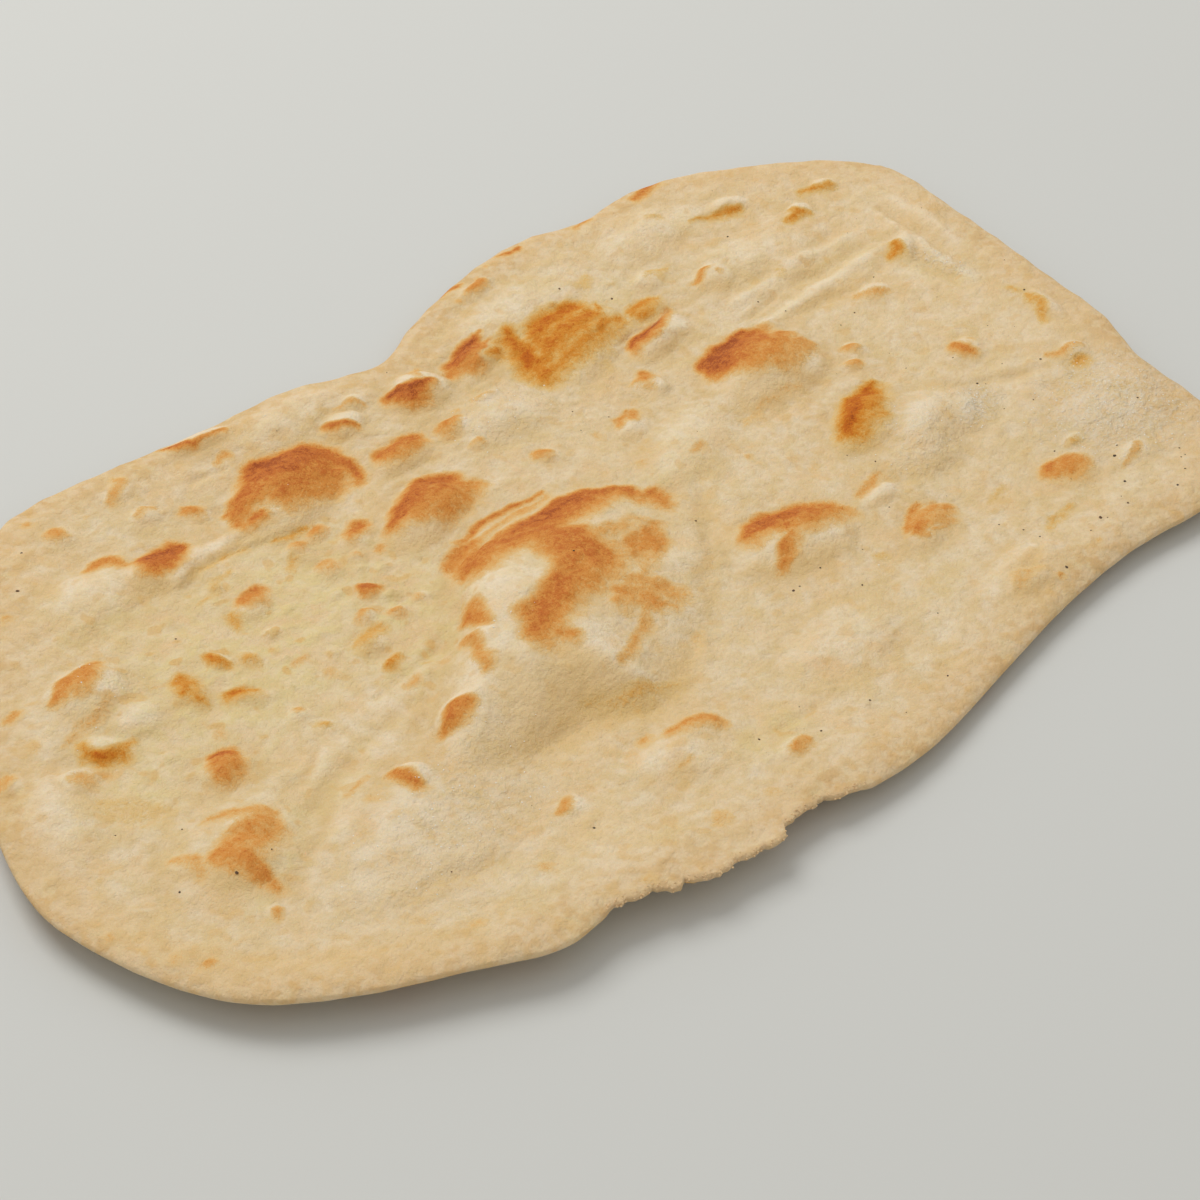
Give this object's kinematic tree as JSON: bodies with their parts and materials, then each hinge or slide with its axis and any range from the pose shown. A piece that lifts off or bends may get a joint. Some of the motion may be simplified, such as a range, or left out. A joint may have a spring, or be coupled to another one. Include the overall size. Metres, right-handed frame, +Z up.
{
  "type": "lavash flatbread",
  "caption": "Long oven-baked flatbread, a thin irregular sheet of dough with a rolled rim, a torn stretch, one great puff and scattered browned blisters",
  "frame": {"origin": "middle of the bounding box in plan, on the table under the flat middle of the underside", "axes": "+X along the bread's length, +Y across it, +Z up with the blistered side on top"},
  "size_m": [0.372, 0.2334, 0.0156],
  "materials": {
    "crust": "matte, dry baked dough with browned blisters"
  },
  "bodies": {
    "root": {"lavash": "crust"}
  },
  "joints": []
}
